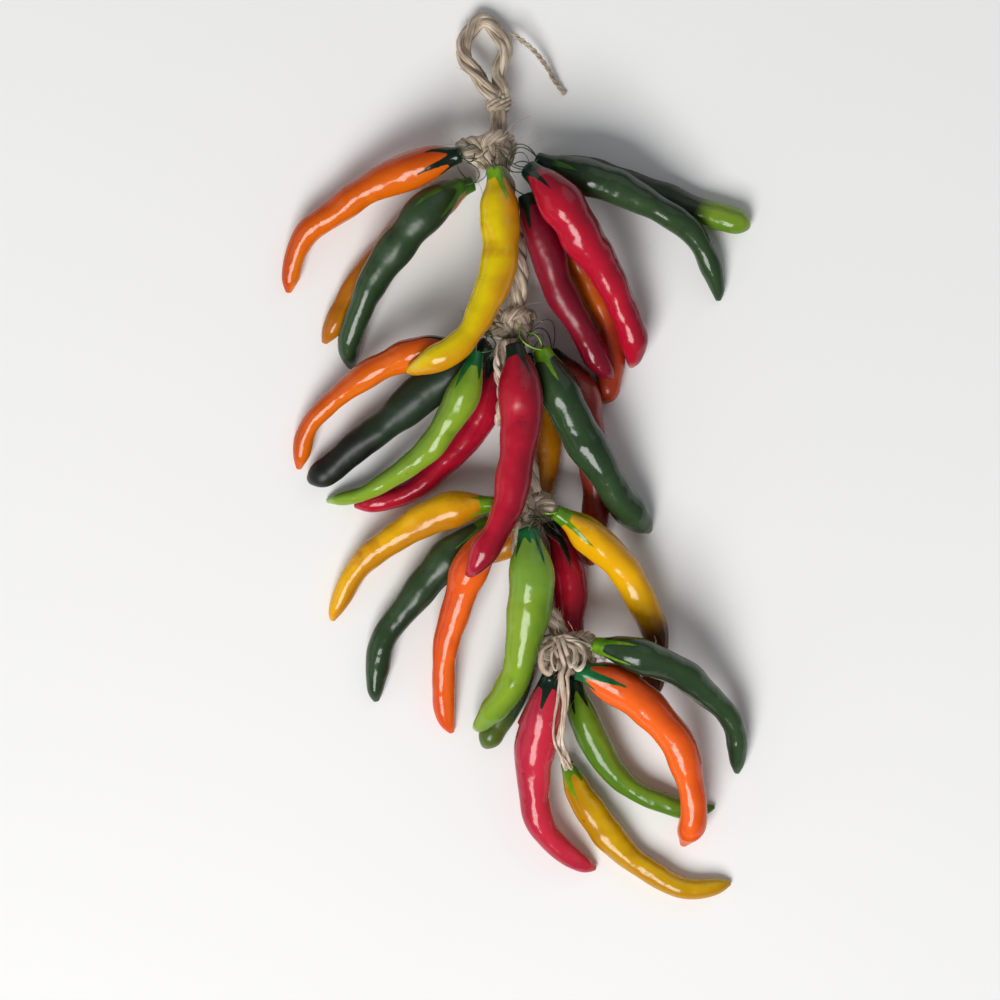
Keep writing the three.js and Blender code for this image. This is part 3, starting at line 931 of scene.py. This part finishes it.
def wrap(middle, half, turns, strand, rng):
    """A coil that winds along X over a barrel, leaning, with uneven turns."""
    steps, lean = 40, 0.25
    share = np.linspace(0, 1, int(turns * steps))
    across = (2 * share - 1) * (half[0] - strand)
    pinch = np.sqrt(np.clip(1 - 0.72 * (across / half[0]) ** 2, 0, 1))
    turn = TURN * turns * share + rng.uniform(0, 6)
    uneven = 1 + 0.05 * np.sin(turn * 0.37 + rng.uniform(0, 6)) + 0.03 * np.sin(turn * 1.3)
    y = (half[1] - strand) * pinch * uneven * np.cos(turn)
    z = (half[2] - strand) * pinch * uneven * np.sin(turn)
    x = across + lean * y + 0.35 * strand * np.sin(turn * 0.61 + rng.uniform(0, 6))
    return middle + np.column_stack([x, y, z])


def overhand(middle, half, strand, spin, rng):
    """The crossing turns of a tight overhand knot, which ends where it began."""
    t = np.linspace(0, TURN, 130) + rng.uniform(-0.2, 0.2)
    across = (np.sin(t) + 2 * np.sin(2 * t)) / 2.65
    down = (np.cos(t) - 2 * np.cos(2 * t) + 0.45) / 2.6
    x = across * math.cos(spin) - down * math.sin(spin)
    y = across * math.sin(spin) + down * math.cos(spin)
    return middle + np.column_stack([x, y, -np.sin(3 * t)]) * (half - strand)


def tie_knot(name, spin, settings):
    """A knot: a wound heart of thicker strand with the crossing turns of strand over it."""
    rng = random.Random(name)
    middle, half = box_middle(name)
    strand = settings.strand
    thick = 1.15 * strand
    tubes = Tubes()
    heart = wrap(middle, half * 0.92, 3.2, thick, rng)
    add_cord(tubes, heart, thick, 3, 14 * MM)
    turns = overhand(middle, half * (1.05, 1.1, 1.12), strand, spin, rng)
    add_cord(tubes, turns, strand, 3, 13 * MM)
    add_fuzz(tubes, heart, strand, 2 * settings.fuzz, rng)
    add_fuzz(tubes, turns, strand, 2 * settings.fuzz, rng, reach=(2.0, 8.0))
    tubes.make_sisal(f"tied_{name}", "rope", name)


def wind_binding(settings):
    """The binding: a thin cord wound round the foot of the loop."""
    rng = random.Random("binding")
    middle, half = box_middle("loop_binding")
    strand, turns = 1.5 * MM, 3.2
    share = np.linspace(0, 1, 120)
    turn = TURN * turns * share
    reach = half[0] - strand
    down = (2 * share - 1) * (half[1] - strand) + 0.4 * MM * np.cos(turn)
    path = middle + np.column_stack([reach * np.cos(turn), down, reach * np.sin(turn)])
    tubes = Tubes()
    add_cord(tubes, path, strand, 2, 8 * MM)
    add_fuzz(tubes, path, strand, settings.fuzz, rng)
    tubes.make_sisal("wound_loop_binding", "rope", "loop_binding")


class CHILLI_OT_knots(bpy.types.Operator):
    """Ties each knot from turns of laid strand and winds the loop's binding"""

    bl_idname = "chilli.knots"
    bl_label = "Knots"

    def execute(self, context):
        settings = context.scene.chilli_rope
        for name, spin in KNOTS.items():
            tie_knot(name, spin, settings)
        wind_binding(settings)
        return {"FINISHED"}


# ---- Twine and wires ----


def through(places, stride=0.5 * MM):
    """A smooth path through a few places."""
    rows = np.array(places, dtype=float)
    length = lengths_along(rows)[-1]
    return along_curve(rows, np.linspace(0, length, max(int(length / stride), 8)))


# The strands over the lowest knot, by shares of its half sizes from its middle.
KNOT_STRANDS = (
    ((-0.95, 0.55, 0.6), (-0.62, 0.8, 1.0), (-0.3, 0.6, 1.25), (0.0, 0.1, 1.3), (0.15, -0.6, 1.1)),
    ((-0.75, 0.3, 0.8), (-0.55, 0.7, 1.1), (-0.1, 0.85, 1.15), (0.3, 0.6, 1.2), (0.55, 0.2, 1.1)),
    ((-0.6, 0.9, 0.8), (-0.5, 0.3, 1.2), (-0.35, -0.3, 1.2), (-0.3, -0.9, 0.7)),
    ((-0.85, -0.1, 0.7), (-0.45, 0.35, 1.15), (0.1, 0.4, 1.2), (0.6, -0.2, 1.1), (0.75, -0.7, 0.7)),
    ((-0.2, 0.95, 0.8), (0.1, 0.7, 1.15), (0.25, 0.1, 1.2), (0.3, -0.5, 1.1), (0.2, -1.0, 0.6)),
    ((0.1, 1.0, 0.6), (0.45, 0.75, 1.0), (0.75, 0.4, 1.05), (0.8, -0.2, 0.9)),
)
# The frayed strand that reaches past the knot, and the tail's way up over it, by the same shares.
STRAY_STRAND = ((-0.2, 0.7, 1.15), (0.3, 0.6, 1.3), (0.75, 0.35, 1.2), (1.05, 0.0, 1.0), (1.25, -0.25, 1.0))
TAIL_LEAD = ((-0.3, 0.75, 1.15), (-0.2, 0.1, 1.6), (-0.1, -0.6, 1.5))


def on_knot(places):
    """Places given by shares of the lowest knot's half sizes from its middle."""
    middle, half = box_middle("knot_4")
    return [middle + half * place for place in places]


def tie_bow(name, inwards, twine):
    """One side of the bow: its loop, and a smaller loop inside it."""
    rng = random.Random(name)
    path, _ = cord_path(name, stride=0.5 * MM, reach=2.5 * MM)
    tubes = Tubes()
    path[:, 2] += 0.5 * twine
    add_strand(tubes, path, twine * 1.2, rng)
    root = path[0] + (inwards * 2 * MM, 0, 0)
    inner = root + (path - path[0]) * (0.55, 0.8, 0.7)
    inner[:, 2] += 1.2 * MM
    add_strand(tubes, inner, 0.75 * twine, rng)
    add_fuzz(tubes, path, twine, 24, rng, reach=(1.5, 5.0))
    tubes.make_sisal(f"tied_{name}", "twine", name)


def wind_twine(twine):
    """The strands that cross the lowest knot, and the frayed one that reaches past it."""
    rng = random.Random("winding")
    tubes = Tubes()
    for places in KNOT_STRANDS:
        strand = through(on_knot(places))
        add_strand(tubes, strand, twine * rng.uniform(0.75, 1.1), rng)
        add_fuzz(tubes, strand, twine, 12, rng)
    stray = through(on_knot(STRAY_STRAND))
    add_strand(tubes, stray, 0.8 * twine, rng, taper=4 * MM)
    add_fuzz(tubes, stray[-8:], twine, 30, rng, reach=(2.0, 5.0))
    tubes.make_sisal("twine_winding", "twine")


def hang_tail(twine):
    """The tail: three loose strands that pass over the bow and down to the last chilli."""
    rng = random.Random("tail")
    path, radius = cord_path("tail", stride=0.7 * MM, reach=2 * MM)
    lead = through([*on_knot(TAIL_LEAD), path[0]], 0.7 * MM)
    path = np.concatenate([lead[:-2], path])
    share = shares_along(path)
    beside, above = carried_frames(path)
    tubes = Tubes()
    for n, size in enumerate((1.15, 0.9, 0.55)):
        turn = TURN * (n / 3 + 0.7 * share)
        apart = radius * (0.75 + 0.8 * np.sin(math.pi * share) * (0.2 + 0.5 * n))
        across = np.cos(turn)[:, None] * beside + 0.5 * np.sin(turn)[:, None] * above
        strand = path + apart[:, None] * across
        add_strand(tubes, strand, twine * size, rng)
        add_fuzz(tubes, strand, twine, 26, rng, reach=(2.0, 7.0))
    tubes.make_sisal("tied_tail", "twine", "tail")


class CHILLI_OT_twine(bpy.types.Operator):
    """Winds pale twine over the lowest knot, ties its bow and hangs the tail of the last chilli"""

    bl_idname = "chilli.twine"
    bl_label = "Twine"

    def execute(self, context):
        twine = context.scene.chilli_rope.twine
        tie_bow("bow_left", 1, twine)
        tie_bow("bow_right", -1, twine)
        wind_twine(twine)
        hang_tail(twine)
        return {"FINISHED"}


def arched(start, way, end, rng, rise):
    """A springy wire's path: out of the stem, up in one smooth bow to the side, and down."""
    span = np.linalg.norm(end - start)
    swing = rng.choice((-1, 1)) * rng.uniform(0.2, 0.6) * (span + 2 * MM)
    side = unit(np.cross(end - start, UP)) * swing
    first = start + way * (0.2 * span + 1.5 * MM) + 0.9 * side + UP * rise
    last = end + 0.05 * (start - end) + side + UP * 1.6 * rise
    t = np.linspace(0, 1, 40)[:, None]
    return (1 - t) ** 3 * start + 3 * t * (1 - t) ** 2 * first + 3 * t**2 * (1 - t) * last + t**3 * end


def add_wire(tubes, path, radius, sides):
    """A plain wire: a cord of one ply, whose pitch doesn't matter."""
    add_cord(tubes, path, radius, 1, pitch=1.0, sides=sides)


def bend_wire(name, radius, material):
    """A wire that has a solid of its own, with a sideways spring in it."""
    path, _ = cord_path(name, stride=0.5 * MM, reach=0.8 * MM)
    share = shares_along(path)
    sideways = np.cross(path[-1] - path[0], UP)
    path = path + (np.sin(math.pi * share) * 0.3)[:, None] * sideways
    tubes = Tubes()
    add_wire(tubes, path, radius, 8)
    tubes.make(f"bent_{name}", material, "wire", name)


def add_spare_wires(name, dark, bright, radius):
    """One or two bows of wire from a chilli's stem to its knot."""
    _, place, _ = name.split("_")
    rng = random.Random(f"wire {name}")
    rows, _ = chilli_profile(NODES[name])
    stem, stem_radius = rows[0, :3], rows[0, 3]
    way = unit(stem - rows[1, :3])
    knot, half = box_middle(f"knot_{place[0]}")
    toward = np.clip((stem - knot) / half, -0.85, 0.85)
    for turn in range(1 if rng.random() < 0.6 else 2):
        end = knot + half * (toward[0] * 0.8, toward[1] * 0.8, 1.0) * 0.97
        end[:2] += [rng.uniform(-2, 2) * MM, rng.uniform(-2, 2) * MM]
        path = arched(stem + UP * 0.3 * stem_radius, way, end, rng, rng.uniform(2.5, 6) * MM)
        kind = bright if place in SLENDER and turn == 0 else dark
        add_wire(kind, path, radius * (0.95, 0.75)[turn], 6)


class CHILLI_OT_wires(bpy.types.Operator):
    """Bends the springy wires from the stems to their knots"""

    bl_idname = "chilli.wires"
    bl_label = "Wires"

    def execute(self, context):
        settings = context.scene.chilli_wire
        dark = finish_for("coated_wire", coated_wire, tuple(settings.colour))
        bright = finish_for("bright_wire", coated_wire, tuple(settings.bright))
        for name in sorted(NODES):
            if name.startswith("wire_"):
                place = name.split("_")[1]
                bend_wire(name, settings.radius, bright if place in SLENDER else dark)

        dark_wires, bright_wires = Tubes(), Tubes()
        for name in sorted(NODES):
            if name.startswith("chilli_") and not name.startswith("chilli_5"):
                add_spare_wires(name, dark_wires, bright_wires, settings.radius)
        dark_wires.make("spare_wires_dark", dark, "wire")
        bright_wires.make("spare_wires_bright", bright, "wire")
        return {"FINISHED"}


class CHILLI_OT_threads(bpy.types.Operator):
    """Strews stray pale fibres over the knots and the stems beside them"""

    bl_idname = "chilli.threads"
    bl_label = "Stray fibres"

    def execute(self, context):
        tubes = Tubes()
        for name in KNOTS:
            rng = random.Random(f"threads {name}")
            middle, half = box_middle(name)
            for _ in range(context.scene.chilli_rope.threads):
                turn = rng.uniform(0, TURN)
                out = np.array([math.cos(turn), math.sin(turn), 0])
                start = middle + out * half * 0.8 + UP * half[2] * 0.8
                curl = np.array([-out[1], out[0], 0]) * rng.uniform(-9, 9) * MM
                reach = rng.uniform(4, 15) * MM
                top = start + out * 0.5 * reach + curl * 0.3 + UP * rng.uniform(1, 5) * MM
                end = start + out * reach + curl + UP * rng.uniform(-2, 3) * MM
                add_wire(tubes, through([start, top, end], 0.8 * MM), rng.uniform(0.06, 0.12) * MM, 4)
        tubes.make_sisal("stray_threads", "twine")
        return {"FINISHED"}


# ---- Stage ----


def soft_light(name, target, place, size, watts, colour):
    """A wide light that faces its target."""
    light = bpy.data.lights.new(name, "AREA")
    light.shape = "RECTANGLE"
    light.size, light.size_y = size
    light.energy = watts
    light.color = colour
    lamp = new_object(name, light)
    lamp.location = place
    way = np.array(target) - np.array(place)
    tilt = math.acos(-way[2] / np.linalg.norm(way))
    lamp.rotation_euler = (tilt, 0, math.atan2(way[1], way[0]) - math.pi / 2)


class CHILLI_OT_stage(bpy.types.Operator):
    """Lays the pale floor and sets the soft lights and the camera that looks down"""

    bl_idname = "chilli.stage"
    bl_label = "Floor, lights and camera"

    def execute(self, context):
        settings = context.scene.chilli_stage
        scene = context.scene

        corners = np.array([(-1, -1, 0), (1, -1, 0), (1, 1, 0), (-1, 1, 0)]) * FLOOR_HALF
        mesh = bpy.data.meshes.new("floor")
        mesh.from_pydata(corners.tolist(), [], [(0, 1, 2, 3)])
        mesh.materials.append(finish_for("floor_paper", floor_paper, tuple(settings.floor_colour)))
        floor = new_object("floor", mesh)
        floor.location.z = -FLOOR_DROP

        world = bpy.data.worlds.new("studio")
        world.use_nodes = True
        background = world.node_tree.nodes["Background"]
        background.inputs["Color"].default_value = SKY_COLOUR
        background.inputs["Strength"].default_value = SKY_STRENGTH
        scene.world = world

        middle = np.mean([tuple(corner) for corner in CAD_BOX], axis=0)
        for name, (place, size, watts, colour) in LIGHTS.items():
            soft_light(name, middle, place, size, watts, colour)

        camera = bpy.data.cameras.new("camera")
        camera.sensor_width = 36
        height = settings.camera_height
        camera.lens = camera.sensor_width * (height - middle[2]) / settings.view_width
        camera.clip_end = 20
        eye = new_object("camera", camera)
        eye.location = (*EYE, height)
        scene.camera = eye
        scene.view_settings.view_transform = "Standard"
        return {"FINISHED"}


# ---- Panel and run ----

OPERATORS = (
    CHILLI_OT_chillies,
    CHILLI_OT_rope,
    CHILLI_OT_loop,
    CHILLI_OT_knots,
    CHILLI_OT_twine,
    CHILLI_OT_wires,
    CHILLI_OT_threads,
    CHILLI_OT_stage,
)


class CHILLI_PT_panel(bpy.types.Panel):
    """Lists the operators in the order that they are run"""

    bl_label = "Chilli String"
    bl_space_type = "VIEW_3D"
    bl_region_type = "UI"
    bl_category = "Chillies"

    def draw(self, context):
        for operator in OPERATORS:
            self.layout.operator(operator.bl_idname)


SETTINGS = {
    "chilli_clay": ChilliSettings,
    "chilli_rope": RopeSettings,
    "chilli_wire": WireSettings,
    "chilli_stage": StageSettings,
}
CLASSES = (*SETTINGS.values(), *OPERATORS, CHILLI_PT_panel)


def register():
    for cls in CLASSES:
        bpy.utils.register_class(cls)
    for name, group in SETTINGS.items():
        setattr(bpy.types.Scene, name, PointerProperty(type=group))


def unregister():
    for name in SETTINGS:
        delattr(bpy.types.Scene, name)
    for cls in reversed(CLASSES):
        bpy.utils.unregister_class(cls)


def main():
    register()
    for operator in OPERATORS:
        family, name = operator.bl_idname.split(".")
        getattr(getattr(bpy.ops, family), name)()


if __name__ == "__main__":
    main()
